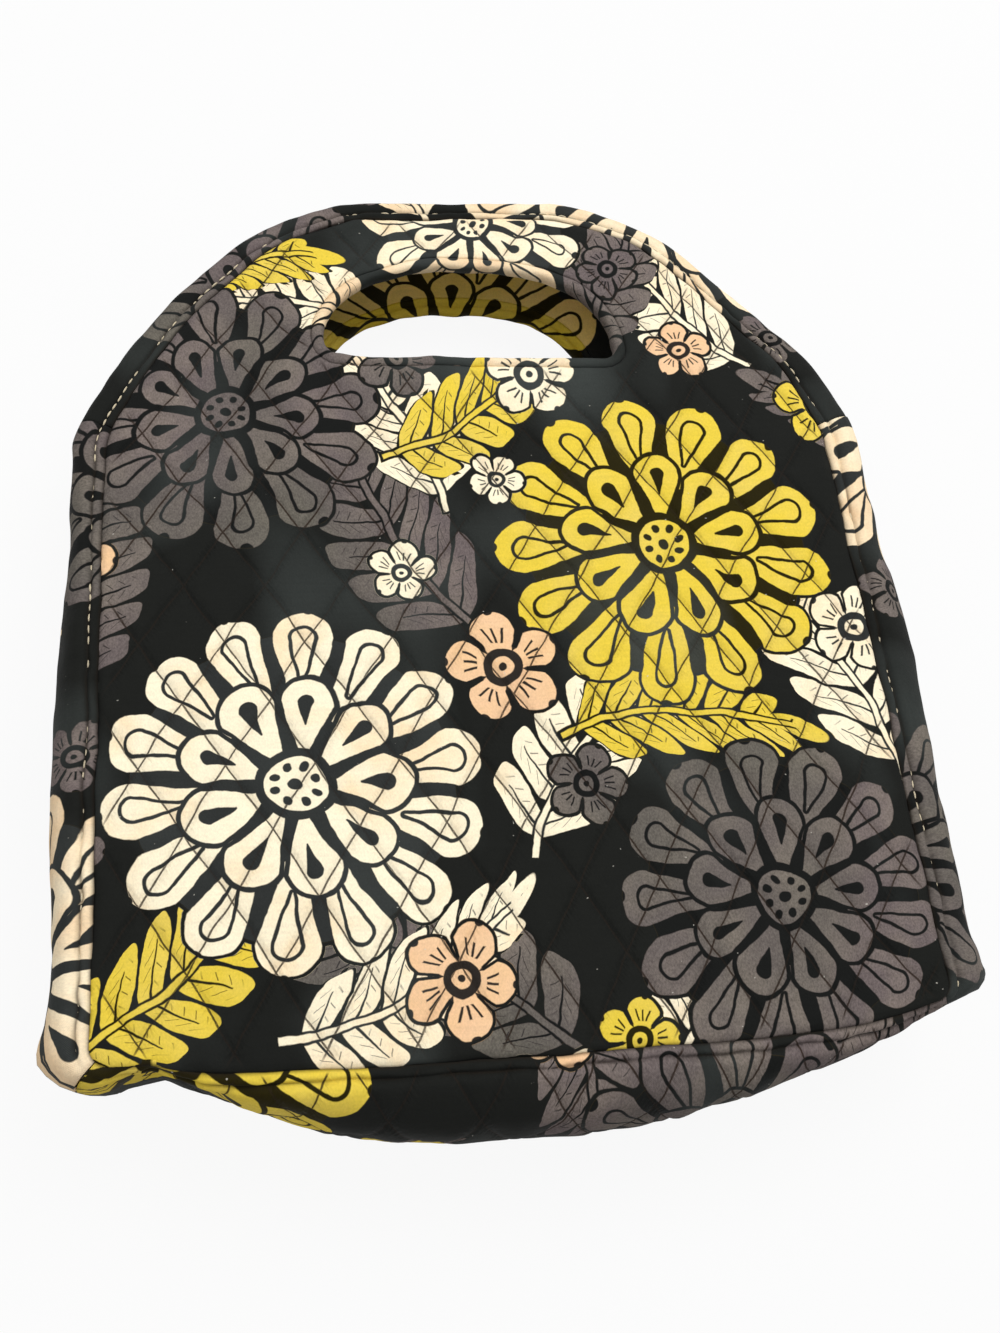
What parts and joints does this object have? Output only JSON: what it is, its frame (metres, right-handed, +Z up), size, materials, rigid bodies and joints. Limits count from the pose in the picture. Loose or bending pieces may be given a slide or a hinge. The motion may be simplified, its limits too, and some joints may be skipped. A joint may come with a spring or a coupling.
{
  "type": "lunch bag",
  "caption": "Soft insulated lunch bag of quilted cloth with rounded shoulders, a hand hole through both panels and a zip across the mouth, lying on its back.",
  "frame": {"origin": "on the table under the middle of the bag as it lies on its back", "axes": "+Z up out of the front panel, +Y towards the hand hole, +X to the right seen from above"},
  "size_m": [0.2822, 0.3276, 0.068],
  "materials": {
    "quilted_cloth": "printed cotton weave, quilted in diamonds",
    "facing_cloth": "printed cotton weave",
    "plain_cloth": "cotton weave, stitched edges",
    "foam": "closed-cell foam",
    "lining": "wipe-clean coated cloth, slight sheen",
    "zip_tape": "herringbone woven tape",
    "zip_teeth": "moulded, satin",
    "zip_metal": "nickel plated"
  },
  "bodies": {
    "bag": {"front_panel": "quilted_cloth", "back_panel": "quilted_cloth", "left_gusset": "quilted_cloth", "right_gusset": "quilted_cloth", "bottom_gusset": "quilted_cloth", "front_facing": "facing_cloth", "back_facing": "facing_cloth", "front_hole_binding": "plain_cloth", "back_hole_binding": "plain_cloth", "front_edge_band": "plain_cloth", "back_edge_band": "plain_cloth", "front_foam": "foam", "back_foam": "foam", "left_gusset_foam": "foam", "right_gusset_foam": "foam", "bottom_gusset_foam": "foam", "front_lining": "lining", "back_lining": "lining", "left_lining": "lining", "right_lining": "lining", "bottom_lining": "lining", "zip_tail": "zip_tape", "zip_end_stop": "zip_metal", "right_zip_tab": "plain_cloth", "left_zip_tab": "plain_cloth"},
    "front_zip_flap": {"front_zip_strip": "plain_cloth", "front_zip_tape": "zip_tape", "front_zip_teeth": "zip_teeth", "front_top_stop": "zip_metal"},
    "back_zip_flap": {"back_zip_strip": "plain_cloth", "back_zip_tape": "zip_tape", "back_zip_teeth": "zip_teeth", "back_top_stop": "zip_metal"},
    "zip_slider": {"zip_slider": "zip_metal"},
    "zip_pull": {"zip_pull": "zip_metal"}
  },
  "joints": [
    {"name": "front_mouth_fold", "type": "hinge", "parent": "bag", "child": "front_zip_flap", "pos_m": [0, 0.06747, 0.03816], "axis": [1, 0, 0], "range_deg": [0, 70]},
    {"name": "back_mouth_fold", "type": "hinge", "parent": "bag", "child": "back_zip_flap", "pos_m": [0, 0.06747, 0.0092], "axis": [1, 0, 0], "range_deg": [-70, 0]},
    {"name": "zip_travel", "type": "slide", "parent": "bag", "child": "zip_slider", "axis": [1, 0, 0], "range_m": [-0.18, 0]},
    {"name": "pull_swing", "type": "hinge", "parent": "zip_slider", "child": "zip_pull", "pos_m": [0.09, 0.06967, 0.02368], "axis": [0, 0, 1], "range_deg": [0, 170]}
  ]
}
